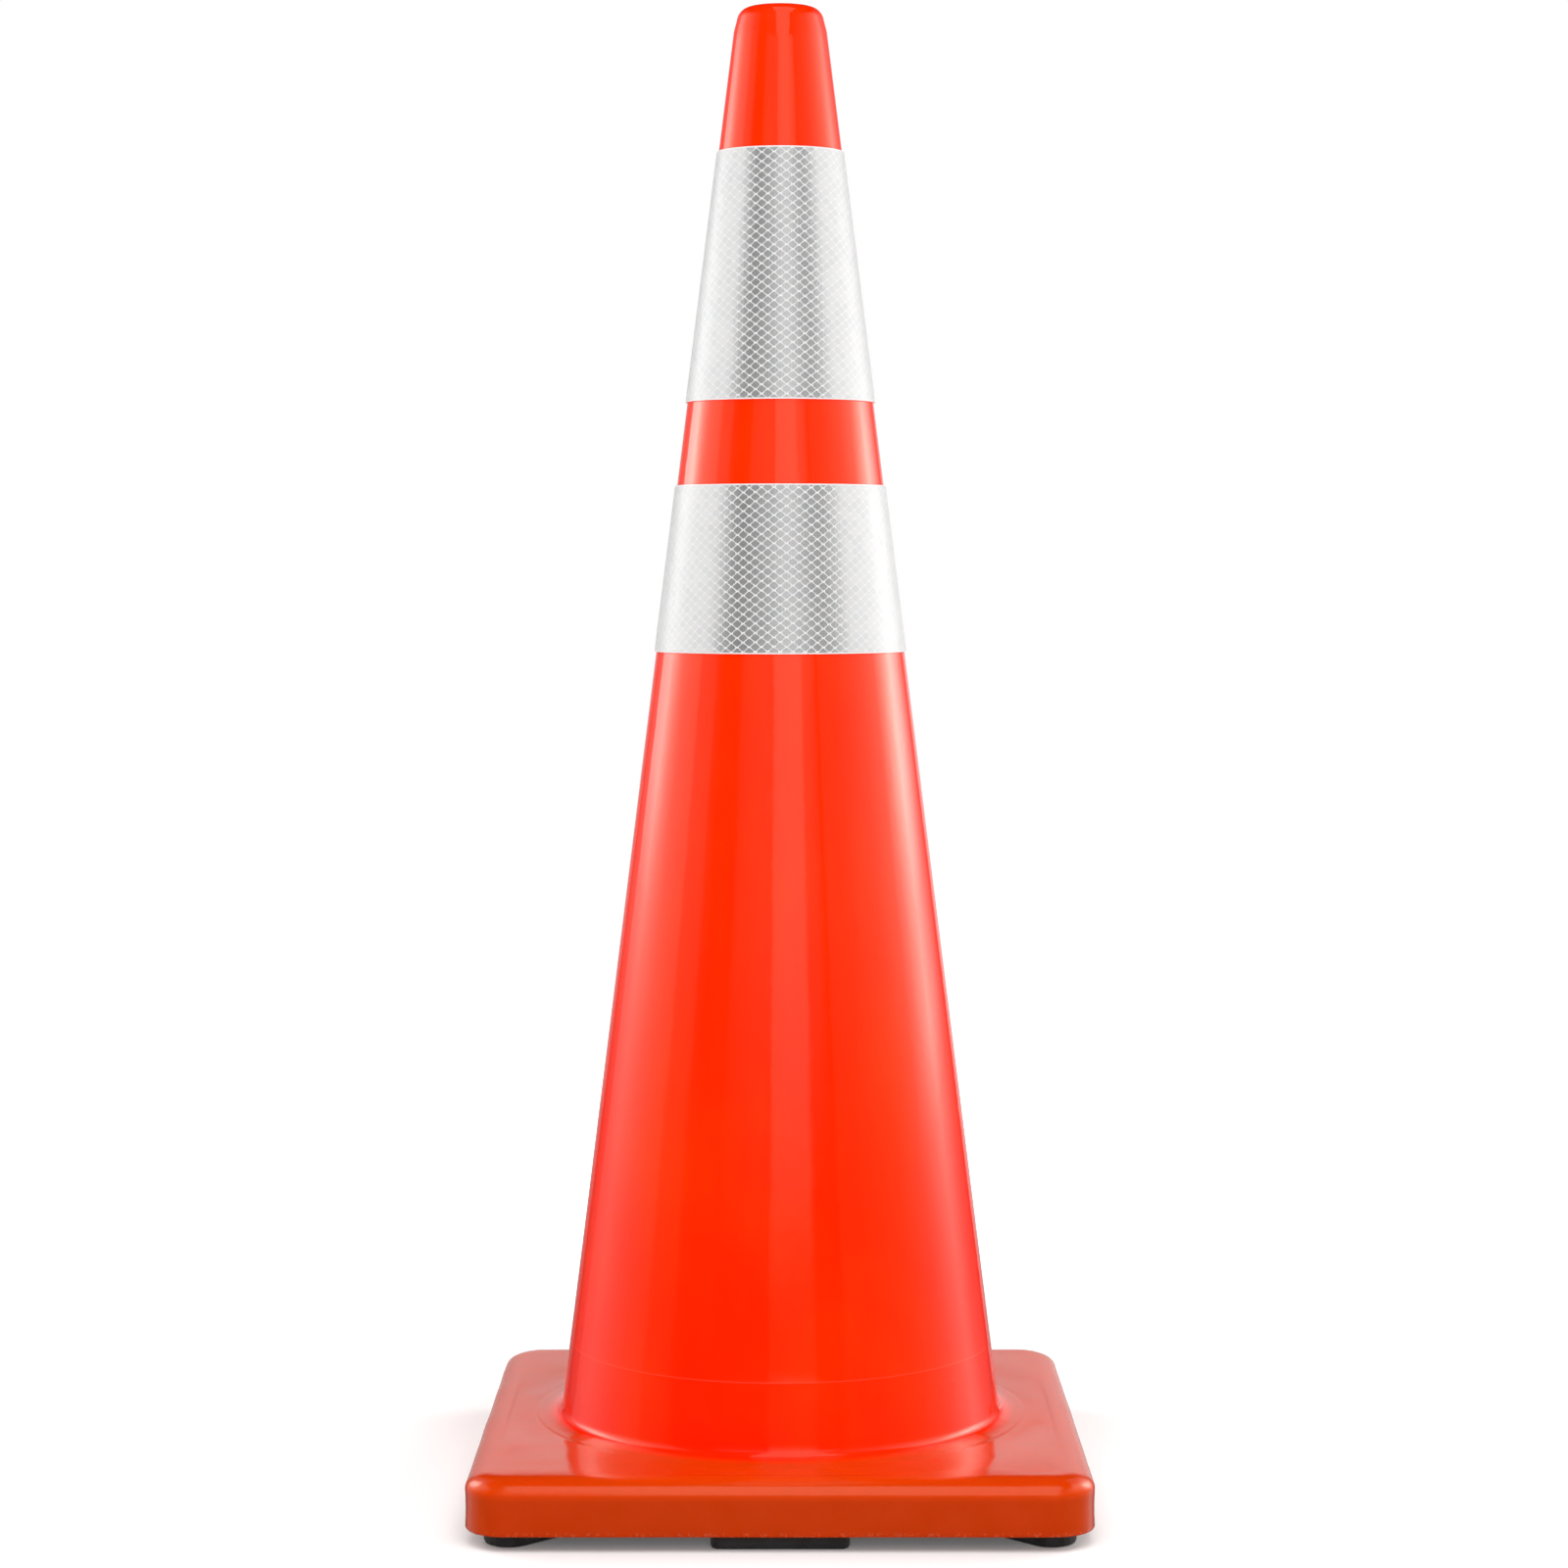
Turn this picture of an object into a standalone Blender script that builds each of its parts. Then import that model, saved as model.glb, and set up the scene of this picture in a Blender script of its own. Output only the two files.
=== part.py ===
"""Traffic cone, 900 mm tall, on a ballasted square base.

An orange PVC moulding makes the cone and the cover of its base. A ring of recycled rubber
is snapped into the cover as ballast, rubber feet are plugged into the ballast, and two
retroreflective collars, each a PVC sleeve faced with prismatic sheeting, are pushed down
over the taper.

The origin is on the ground under the middle of the base. +Z is up, and -Y is the front.
Everything is in metres.
"""

import math

import bmesh
import bpy
from mathutils import Matrix, Vector

MM = 0.001

# Driving dimensions
HEIGHT = 900 * MM
BASE_HALF = 182 * MM
BASE_CORNER = 25 * MM
BASE_TOP = 42 * MM
SKIRT_BOTTOM = 9 * MM
RADIUS_AT_GROUND = 140.7 * MM
TAPER = 0.127
CONE_WALL = 3.2 * MM
COVER_WALL = 4 * MM
GAP = 0.3 * MM

# Details of the moulding
FOOT_FILLET = 12 * MM
TOP_ROUND = 9 * MM
COVER_ROUND = 9 * MM
SKIRT_ROUND = 1.5 * MM
HOLE_RADIUS = 14 * MM
HOLE_DEPTH = 12 * MM
HOLE_EDGE = 1 * MM
LIP_IN = 2.5 * MM
LIP_THICK = 2.5 * MM

# Ballast and feet
BORE_CLEARANCE = 0.9 * MM
BORE_CHAMFER = 2 * MM
CORNER_FOOT = (62 * MM, 30 * MM)
CORNER_FOOT_OUT = 171 * MM
SIDE_FOOT = (80 * MM, 26 * MM)
SIDE_FOOT_OUT = 174.5 * MM
SIDE_FOOT_CORNER = 5 * MM
FOOT_EDGE = 2.4 * MM
STEM_RADIUS = 5 * MM
STEM_LENGTH = 8 * MM
SIDE_STEM_OFFSET = 25 * MM

# Collars: the heights of their lower and upper edges on the cone
COLLARS = {
    "lower_collar": (510.6 * MM, 611.4 * MM),
    "upper_collar": (661.8 * MM, 813.0 * MM),
}
SLEEVE_WALL = 0.5 * MM
SHEETING_WALL = 0.3 * MM
SHEETING_GAP = 0.2 * MM
LAP_WIDTH = 14 * MM
LAP_RISE = 0.4 * MM

# Facets
TURN_STEPS = 64
FILLET_STEPS = 5
CORNER_STEPS = 6
EDGE_STEPS = 2
STEM_STEPS = 12

OVERSHOOT = 4 * MM
MERGE = 0.00001


def cone_radius(z):
    """Radius of the cone's outer surface at height z."""
    return RADIUS_AT_GROUND - TAPER * z


def material(name, colour, roughness, metallic=0.0):
    """A Principled material of one colour."""
    made = bpy.data.materials.new(name)
    made.use_nodes = True
    shader = made.node_tree.nodes["Principled BSDF"]
    shader.inputs["Base Color"].default_value = (*colour, 1.0)
    shader.inputs["Roughness"].default_value = roughness
    shader.inputs["Metallic"].default_value = metallic
    return made


def collection(name):
    made = bpy.data.collections.new(name)
    bpy.context.scene.collection.children.link(made)
    return made


def add_object(name, mesh, group, finish=None):
    """An object that holds mesh, in a collection, with a material if it is a part."""
    made = bpy.data.objects.new(name, mesh)
    group.objects.link(made)
    if finish:
        made.data.materials.append(finish)
    else:
        made.hide_render = True
        made.display_type = "WIRE"
    return made


def arc(centre_r, centre_z, radius, start, end, steps):
    """Points (r, z) on an arc, from one angle to another in degrees."""
    points = []
    for i in range(steps + 1):
        angle = math.radians(start + (end - start) * i / steps)
        points.append((centre_r + radius * math.cos(angle), centre_z + radius * math.sin(angle)))
    return points


def turned(name, profile, group, finish=None, ring=False):
    """A solid turned about Z from (r, z) points that run down its outer side.

    A ring's profile is a closed loop; any other starts and ends on the axis.
    """
    count = len(profile)
    edges = [(i, i + 1) for i in range(count - 1)]
    if ring:
        edges.append((count - 1, 0))
    mesh = bpy.data.meshes.new(name)
    mesh.from_pydata([(r, 0.0, z) for r, z in profile], edges, [])
    made = add_object(name, mesh, group, finish)
    screw = made.modifiers.new("turn", "SCREW")
    screw.steps = TURN_STEPS
    screw.render_steps = TURN_STEPS
    screw.use_merge_vertices = True
    screw.merge_threshold = MERGE
    return made


def upright(edge):
    """Whether an edge runs along Z."""
    along = edge.verts[1].co - edge.verts[0].co
    return abs(along.z) > 0.99 * along.length


def at_height(edge, z):
    """Whether both ends of an edge lie at height z."""
    return all(abs(v.co.z - z) < MERGE for v in edge.verts)


def bevel(bm, edges, radius, steps):
    bmesh.ops.bevel(bm, geom=edges, offset=radius, segments=steps, profile=0.5, affect="EDGES")


def block(name, half, z_low, z_high, corner, group, finish=None, rounded=()):
    """A block centred on Z with upright corners rounded, and the edges of its ends too.

    half is (x, y); each entry of rounded is (height of a rounded end, its radius, its steps).
    """
    bm = bmesh.new()
    place = Matrix.LocRotScale(
        Vector((0, 0, (z_low + z_high) / 2)), None, Vector((2 * half[0], 2 * half[1], z_high - z_low))
    )
    bmesh.ops.create_cube(bm, size=1.0, matrix=place)
    bevel(bm, [e for e in bm.edges if upright(e)], corner, CORNER_STEPS)
    for height, radius, steps in rounded:
        bevel(bm, [e for e in bm.edges if at_height(e, height)], radius, steps)
    bmesh.ops.remove_doubles(bm, verts=bm.verts, dist=MERGE)
    bmesh.ops.recalc_face_normals(bm, faces=bm.faces)
    mesh = bpy.data.meshes.new(name)
    bm.to_mesh(mesh)
    bm.free()
    return add_object(name, mesh, group, finish)


def cylinder(name, radius, z_low, z_high, spot, group):
    """A plain cylinder along Z, used to cut or to join."""
    bm = bmesh.new()
    place = Matrix.Translation((spot[0], spot[1], (z_low + z_high) / 2))
    bmesh.ops.create_cone(
        bm,
        cap_ends=True,
        segments=STEM_STEPS,
        radius1=radius,
        radius2=radius,
        depth=z_high - z_low,
        matrix=place,
    )
    mesh = bpy.data.meshes.new(name)
    bm.to_mesh(mesh)
    bm.free()
    return add_object(name, mesh, group)


def combine(target, other, operation):
    """A Boolean modifier that cuts other from target, or joins it on."""
    step = target.modifiers.new(f"{operation.lower()} {other.name}", "BOOLEAN")
    step.operation = operation
    step.object = other


def smooth(made, degrees=35):
    """Smooth shading that keeps the sharp edges of the mesh."""
    made.data.shade_smooth()
    made.data.set_sharp_from_angle(angle=math.radians(degrees))


def cone_outline():
    """The cone's outer profile, from the axis at the top to the axis inside the cover."""
    rim = cone_radius(HEIGHT) - TOP_ROUND
    # A fillet that ends just inside the cover's top face meets it in one clean ring.
    sink = 0.1 * MM
    foot = cone_radius(BASE_TOP) + FOOT_FILLET
    top_arc = arc(rim, HEIGHT - TOP_ROUND, TOP_ROUND, 90, 0, FILLET_STEPS)
    foot_arc = arc(foot, BASE_TOP + FOOT_FILLET - sink, FOOT_FILLET, 180, 270, FILLET_STEPS)
    return [
        (0, HEIGHT),
        *top_arc,
        (cone_radius(BASE_TOP + HEIGHT / 2), BASE_TOP + HEIGHT / 2),
        *foot_arc,
        (foot, SKIRT_BOTTOM + COVER_WALL),
        (0, SKIRT_BOTTOM + COVER_WALL),
    ]


def cone_hollow():
    """The profile of the space inside the cone, from the hole at the top to below the ground."""
    hole_floor = HEIGHT - HOLE_DEPTH
    shoulder = hole_floor - HOLE_DEPTH
    mouth = cone_radius(0) - CONE_WALL
    return [
        (0, HEIGHT + OVERSHOOT),
        (HOLE_RADIUS + HOLE_EDGE + OVERSHOOT, HEIGHT + OVERSHOOT),
        (HOLE_RADIUS, HEIGHT - HOLE_EDGE),
        (HOLE_RADIUS, hole_floor),
        (cone_radius(shoulder) - CONE_WALL, shoulder),
        (mouth, 0),
        (mouth, -OVERSHOOT),
        (0, -OVERSHOOT),
    ]


def make_cone_body(parts, cutters, finish):
    """The one-piece moulding: a hollow cone on a square cover with a skirt and an inner lip."""
    rounded = [(BASE_TOP, COVER_ROUND, FILLET_STEPS), (SKIRT_BOTTOM, SKIRT_ROUND, EDGE_STEPS)]
    full = (BASE_HALF, BASE_HALF)
    body = block("cone_body", full, SKIRT_BOTTOM, BASE_TOP, BASE_CORNER, parts, finish, rounded)
    combine(body, turned("cone_outside", cone_outline(), cutters), "UNION")
    combine(body, turned("cone_inside", cone_hollow(), cutters), "DIFFERENCE")

    pocket_half = BASE_HALF - COVER_WALL
    pocket = block(
        "cover_pocket",
        (pocket_half, pocket_half),
        SKIRT_BOTTOM + LIP_THICK,
        BASE_TOP - COVER_WALL,
        BASE_CORNER - COVER_WALL,
        cutters,
    )
    mouth_half = pocket_half - LIP_IN
    mouth = block(
        "lip_opening",
        (mouth_half, mouth_half),
        SKIRT_BOTTOM - OVERSHOOT,
        SKIRT_BOTTOM + LIP_THICK + OVERSHOOT,
        BASE_CORNER - COVER_WALL - LIP_IN,
        cutters,
    )
    combine(pocket, mouth, "UNION")
    combine(body, pocket, "DIFFERENCE")
    smooth(body)


def make_base_weight(parts, cutters, finish, stems):
    """The ballast: a square ring that fills the cover, stepped where the lip holds it."""
    main_half = BASE_HALF - COVER_WALL - GAP
    weight = block(
        "base_weight",
        (main_half, main_half),
        SKIRT_BOTTOM + LIP_THICK + GAP,
        BASE_TOP - COVER_WALL - GAP,
        BASE_CORNER - COVER_WALL - GAP,
        parts,
        finish,
    )
    step_half = main_half - LIP_IN
    step = block(
        "weight_step",
        (step_half, step_half),
        SKIRT_BOTTOM,
        SKIRT_BOTTOM + LIP_THICK + OVERSHOOT,
        BASE_CORNER - COVER_WALL - LIP_IN - GAP,
        cutters,
    )
    combine(weight, step, "UNION")

    top, bottom = BASE_TOP, SKIRT_BOTTOM
    inner = CONE_WALL - BORE_CLEARANCE
    bore_profile = [
        (0, top),
        (cone_radius(top) - inner, top),
        (cone_radius(bottom + BORE_CHAMFER) - inner, bottom + BORE_CHAMFER),
        (cone_radius(bottom) - inner + BORE_CHAMFER, bottom),
        (cone_radius(bottom) - inner + BORE_CHAMFER, bottom - OVERSHOOT),
        (0, bottom - OVERSHOOT),
    ]
    combine(weight, turned("weight_bore", bore_profile, cutters), "DIFFERENCE")

    for index, spot in enumerate(stems):
        socket = cylinder(
            f"stem_socket_{index}",
            STEM_RADIUS + GAP,
            SKIRT_BOTTOM - OVERSHOOT,
            SKIRT_BOTTOM + STEM_LENGTH + GAP,
            spot,
            cutters,
        )
        combine(weight, socket, "DIFFERENCE")
    smooth(weight)


def make_foot(name, size, corner, centre, turn, stem_offsets, parts, cutters, finish):
    """A rubber pad on the ground, with round stems that plug up into the ballast.

    turn is the angle of its long side from X. Returns where its stems stand.
    """
    half = (size[0] / 2, size[1] / 2)
    pad_top = SKIRT_BOTTOM - GAP
    rounded = [(0, FOOT_EDGE, EDGE_STEPS)]
    foot = block(name, half, 0, pad_top, corner, parts, finish, rounded)
    for index, offset in enumerate(stem_offsets):
        stem = cylinder(
            f"{name}_stem_{index}",
            STEM_RADIUS,
            pad_top / 2,
            SKIRT_BOTTOM + STEM_LENGTH,
            (offset, 0),
            cutters,
        )
        combine(foot, stem, "UNION")
        stem.parent = foot
    foot.location = (*centre, 0)
    foot.rotation_euler.z = turn
    smooth(foot)
    along = Vector((math.cos(turn), math.sin(turn)))
    return [Vector(centre) + along * offset for offset in stem_offsets]


def make_feet(parts, cutters, finish):
    """Four feet set diagonally in the corners and four along the sides."""
    stems = []
    length, width = CORNER_FOOT
    end_round = width / 2 - 0.5 * MM
    # The pad's outer end is a half circle whose sides reach CORNER_FOOT_OUT in X and in Y.
    reach = (CORNER_FOOT_OUT - width / 2) * math.sqrt(2) + width / 2 - length / 2
    corners = {"front_right": -45, "back_right": 45, "back_left": 135, "front_left": -135}
    for side, angle in corners.items():
        turn = math.radians(angle)
        centre = (reach * math.cos(turn), reach * math.sin(turn))
        name = f"corner_foot_{side}"
        stems += make_foot(name, CORNER_FOOT, end_round, centre, turn, (0,), parts, cutters, finish)

    distance = SIDE_FOOT_OUT - SIDE_FOOT[1] / 2
    offsets = (-SIDE_STEM_OFFSET, SIDE_STEM_OFFSET)
    for side, angle in {"right": 0, "back": 90, "left": 180, "front": -90}.items():
        out = math.radians(angle)
        centre = (distance * math.cos(out), distance * math.sin(out))
        turn = out + math.pi / 2
        name = f"side_foot_{side}"
        stems += make_foot(
            name, SIDE_FOOT, SIDE_FOOT_CORNER, centre, turn, offsets, parts, cutters, finish
        )
    return stems


def sleeve_profile(low, high, offset, wall):
    """The cross-section of a thin sleeve, offset outwards from the cone."""
    inner, outer = offset, offset + wall
    return [
        (cone_radius(high) + outer, high),
        (cone_radius(low) + outer, low),
        (cone_radius(low) + inner, low),
        (cone_radius(high) + inner, high),
    ]


def raise_lap(sheeting, offset):
    """Makes the turned mesh real and lifts the strip at the back where its ends overlap."""
    graph = bpy.context.evaluated_depsgraph_get()
    mesh = bpy.data.meshes.new_from_object(sheeting.evaluated_get(graph))
    sheeting.modifiers.clear()
    sheeting.data = mesh
    for vertex in mesh.vertices:
        x, y, z = vertex.co
        radius = math.hypot(x, y)
        outside = radius - cone_radius(z) > offset + SHEETING_WALL / 2
        if outside and y > 0 and abs(x) < LAP_WIDTH / 2:
            scale = (radius + LAP_RISE) / radius
            vertex.co = (x * scale, y * scale, z)


def make_collars(parts, sleeve_finish, sheeting_finish):
    """Each collar is a PVC sleeve on the cone, faced with prismatic sheeting."""
    facing = GAP + SLEEVE_WALL + SHEETING_GAP
    for name, (low, high) in COLLARS.items():
        profile = sleeve_profile(low, high, GAP, SLEEVE_WALL)
        smooth(turned(f"{name}_sleeve", profile, parts, sleeve_finish, ring=True))
        profile = sleeve_profile(low, high, facing, SHEETING_WALL)
        sheeting = turned(f"{name}_sheeting", profile, parts, sheeting_finish, ring=True)
        raise_lap(sheeting, facing)
        smooth(sheeting)


def main():
    for old in list(bpy.data.objects):
        bpy.data.objects.remove(old)
    parts = collection("traffic_cone")
    cutters = collection("cutters")

    orange = material("orange_pvc", (1.0, 0.035, 0.003), 0.15)
    ballast = material("recycled_rubber", (0.02, 0.02, 0.021), 0.75)
    rubber = material("black_rubber", (0.014, 0.014, 0.015), 0.6)
    white = material("white_pvc", (0.8, 0.8, 0.79), 0.4)
    prismatic = material("prismatic_sheeting", (0.62, 0.63, 0.63), 0.25)

    make_cone_body(parts, cutters, orange)
    stems = make_feet(parts, cutters, rubber)
    make_base_weight(parts, cutters, ballast, stems)
    make_collars(parts, white, prismatic)


main()
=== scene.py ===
"""The looks of the traffic cone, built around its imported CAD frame.

The orange moulding is one continuous loft with its parting ring, the flare at its foot, the
soft waves of the cover and the cover's rolled edge. Each collar's sheeting is a real lattice
of sunk welds and flat cells, laid out on the flat pattern of its taper. Everything is in metres.
"""

import math

import bmesh
import bpy
import numpy as np
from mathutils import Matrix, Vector, noise


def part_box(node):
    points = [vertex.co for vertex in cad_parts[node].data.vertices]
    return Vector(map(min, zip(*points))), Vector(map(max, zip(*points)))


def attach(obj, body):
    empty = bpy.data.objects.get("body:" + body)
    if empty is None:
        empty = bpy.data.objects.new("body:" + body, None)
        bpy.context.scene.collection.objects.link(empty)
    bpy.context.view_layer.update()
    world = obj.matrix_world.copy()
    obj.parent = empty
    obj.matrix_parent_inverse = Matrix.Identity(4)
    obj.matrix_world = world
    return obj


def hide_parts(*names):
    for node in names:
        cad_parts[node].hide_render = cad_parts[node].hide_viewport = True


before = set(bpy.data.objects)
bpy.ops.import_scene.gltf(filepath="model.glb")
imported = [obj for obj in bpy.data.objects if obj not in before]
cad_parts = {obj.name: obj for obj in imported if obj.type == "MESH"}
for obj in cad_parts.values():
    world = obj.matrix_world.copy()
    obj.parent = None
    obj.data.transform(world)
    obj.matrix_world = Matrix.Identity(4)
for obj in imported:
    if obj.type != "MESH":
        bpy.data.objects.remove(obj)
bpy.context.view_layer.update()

MM = 0.001

# Dimensions that follow the CAD
HEIGHT = 900 * MM
BASE_HALF = 182 * MM
BASE_CORNER = 25 * MM
BASE_TOP = 42 * MM
SKIRT_BOTTOM = 9 * MM
RADIUS_AT_GROUND = 140.7 * MM
TAPER = 0.127
CONE_WALL = 3.2 * MM
COVER_WALL = 4 * MM
TOP_ROUND = 9 * MM
SKIRT_ROUND = 1.5 * MM
HOLE_RADIUS = 14 * MM
HOLE_DEPTH = 12 * MM
HOLE_EDGE = 1 * MM
LIP_IN = 2.5 * MM
LIP_THICK = 2.5 * MM
LAP_HALF = 7 * MM
COLLARS = ("lower_collar", "upper_collar")

LEAN = math.atan(TAPER)


def cone_radius(z):
    """Radius of the cone's outer surface at height z."""
    return RADIUS_AT_GROUND - TAPER * z


def smoothstep(low, high, value):
    """A smooth rise from 0 at low to 1 at high."""
    t = np.clip((np.asarray(value, float) - low) / (high - low), 0.0, 1.0)
    return t * t * (3 - 2 * t)


def wave(x, y, z, size, seed):
    """A smooth random value from -1 to 1 whose swells are about size across."""
    return noise.noise(Vector((x / size + seed, y / size - seed, z / size + 2 * seed)))


# ---------------------------------------------------------------- shader nodes


class Graph:
    """Adds nodes to a node tree; each call returns the node's output socket."""

    def __init__(self, tree):
        self.tree = tree

    def add(self, kind, inputs=None, output=0, **settings):
        made = self.tree.nodes.new(kind)
        for key, value in settings.items():
            setattr(made, key, value)
        for key, value in (inputs or {}).items():
            if isinstance(value, bpy.types.NodeSocket):
                self.tree.links.new(value, made.inputs[key])
            else:
                made.inputs[key].default_value = value
        return made.outputs[output]

    def math(self, operation, a, b=0.0, c=0.0):
        return self.add("ShaderNodeMath", {0: a, 1: b, 2: c}, operation=operation)

    def scaled(self, vector, factors):
        return self.add("ShaderNodeVectorMath", {0: vector, 1: factors}, operation="MULTIPLY")

    def split(self, vector):
        node = self.tree.nodes.new("ShaderNodeSeparateXYZ")
        self.tree.links.new(vector, node.inputs[0])
        return node.outputs[0], node.outputs[1], node.outputs[2]

    def noise(self, vector, scale, detail=2.0, roughness=0.5):
        inputs = {"Vector": vector, "Scale": scale, "Detail": detail, "Roughness": roughness}
        return self.add("ShaderNodeTexNoise", inputs)

    def remap(self, value, low, high, to_low=0.0, to_high=1.0, smooth=True):
        inputs = {0: value, 1: low, 2: high, 3: to_low, 4: to_high}
        kind = "SMOOTHSTEP" if smooth else "LINEAR"
        return self.add("ShaderNodeMapRange", inputs, interpolation_type=kind)

    def mix(self, factor, a, b):
        """Mixes two colours, through the Mix node's colour sockets: 6 and 7 in, 2 out."""
        node = self.tree.nodes.new("ShaderNodeMix")
        node.data_type = "RGBA"
        for index, value in ((0, factor), (6, a), (7, b)):
            if isinstance(value, bpy.types.NodeSocket):
                self.tree.links.new(value, node.inputs[index])
            else:
                node.inputs[index].default_value = value
        return node.outputs[2]

    def ramp(self, value, stops):
        """A ramp through (place from 0 to 1, brightness) stops."""
        node = self.tree.nodes.new("ShaderNodeValToRGB")
        self.tree.links.new(value, node.inputs[0])
        line = node.color_ramp
        while len(line.elements) < len(stops):
            line.elements.new(0.5)
        for element, (place, bright) in zip(line.elements, stops):
            element.position = place
            element.color = (bright, bright, bright, 1.0)
        return node.outputs[0]

    def bump(self, height, distance, strength=1.0, normal=None):
        inputs = {"Height": height, "Distance": distance, "Strength": strength}
        if normal is not None:
            inputs["Normal"] = normal
        return self.add("ShaderNodeBump", inputs)


def surface(name):
    """A new material, its graph, its Principled shader and its object coordinates."""
    made = bpy.data.materials.new(name)
    made.use_nodes = True
    graph = Graph(made.node_tree)
    shader = made.node_tree.nodes["Principled BSDF"]
    return made, graph, shader, graph.add("ShaderNodeTexCoord", output="Object")


def drive(graph, shader, **links):
    """Links outputs to the Principled shader's sockets, named with _ for a space."""
    for key, value in links.items():
        graph.tree.links.new(value, shader.inputs[key.replace("_", " ").title()])


def colour(red, green, blue):
    return (red, green, blue, 1.0)


# ---------------------------------------------------------------- materials


def orange_pvc():
    """Glossy orange PVC: a bright, glassy cone that runs into a rougher, waxier cover, whose colour
    is painted darker than the cone's as shade, and darker still on its upright faces.
    """
    made, graph, shader, place = surface("orange_pvc")
    x, _, z = graph.split(place)
    cover = graph.remap(z, 0.0440, 0.0420)

    drift = graph.noise(place, 9.0, 3.0)
    streaks = graph.noise(graph.scaled(place, (1.0, 1.0, 0.06)), 150.0, 3.0, 0.6)
    mottle = graph.noise(place, 55.0, 4.0, 0.6)
    # The cone's colour is painted lighter and more orange higher up, as the stronger light that
    # falls on its upper part.
    painted_light_higher = graph.remap(z, 0.10, 0.62, smooth=False)
    cone_tone = graph.mix(painted_light_higher, colour(1.0, 0.0150, 0.0002), colour(1.0, 0.0225, 0.0003))
    cone_tone = graph.mix(graph.remap(drift, 0.4, 0.7), cone_tone, colour(1.0, 0.0240, 0.0004))
    cone_tone = graph.mix(
        graph.remap(streaks, 0.35, 0.75, 0.0, 0.25), cone_tone, colour(0.93, 0.0110, 0.0002)
    )
    # Painted shade: the cover's top and its upright faces are darker copies of the cone's orange,
    # and the faces are darker still; the mottle varies both at random.
    top_painted_shade = graph.mix(mottle, colour(0.60, 0.038, 0.0004), colour(0.69, 0.046, 0.0010))
    face_painted_shade = graph.mix(mottle, colour(0.44, 0.029, 0.0004), colour(0.53, 0.036, 0.0008))
    cover_painted_shade = graph.mix(graph.remap(z, 0.0350, 0.0290), top_painted_shade, face_painted_shade)
    tone = graph.mix(cover, cone_tone, cover_painted_shade)

    # A lighter, pinker line is painted along the parting ring's crest.
    off_ring = graph.math("ABSOLUTE", graph.math("SUBTRACT", z, PARTING_HEIGHT))
    crest_line = graph.math("MULTIPLY", graph.remap(off_ring, 0.0005, 0.0001), 0.55)
    tone = graph.mix(crest_line, tone, colour(1.0, 0.060, 0.030))

    # The skirt's lower edge and the corners get scuffed when cones are stacked and dragged.
    specks = graph.noise(place, 420.0, 5.0, 0.7)
    low_edge = graph.remap(z, 0.0135, 0.0095)
    scuff = graph.math("MULTIPLY", low_edge, graph.remap(specks, 0.50, 0.62))
    tone = graph.mix(graph.math("MULTIPLY", scuff, 0.3), tone, colour(0.62, 0.10, 0.035))

    gloss = graph.remap(cover, 0.0, 1.0, 0.045, 0.12, smooth=False)
    gloss = graph.math("ADD", gloss, graph.remap(mottle, 0.3, 0.7, -0.01, 0.03))
    gloss = graph.math("ADD", gloss, graph.math("MULTIPLY", scuff, 0.35))

    skin = graph.noise(place, 130.0, 2.0)
    flow = graph.noise(graph.scaled(place, (1.0, 1.0, 0.12)), 60.0, 2.0)
    cracks = graph.add(
        "ShaderNodeTexVoronoi",
        {"Vector": graph.scaled(place, (1.0, 1.0, 1.6)), "Scale": 55.0},
        feature="DISTANCE_TO_EDGE",
    )
    crackle = graph.math("MULTIPLY", graph.remap(cracks, 0.03, 0.0), graph.remap(z, 0.095, 0.080))
    crackle = graph.math("MULTIPLY", crackle, graph.remap(z, 0.055, 0.070))
    crackle = graph.math("MULTIPLY", crackle, graph.remap(drift, 0.50, 0.60))
    crackle = graph.math("MULTIPLY", crackle, graph.remap(x, 0.0, 0.05))
    normal = graph.bump(flow, 0.00009)
    normal = graph.bump(skin, 0.00006, 1.0, normal)
    normal = graph.bump(crackle, 0.00004, 1.0, normal)
    normal = graph.bump(specks, 0.00003, scuff, normal)

    shader.inputs["IOR"].default_value = 1.5
    shader.inputs["Specular Tint"].default_value = colour(1.0, 0.97, 0.72)
    drive(graph, shader, base_color=tone, roughness=gloss, normal=normal)
    return made


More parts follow.
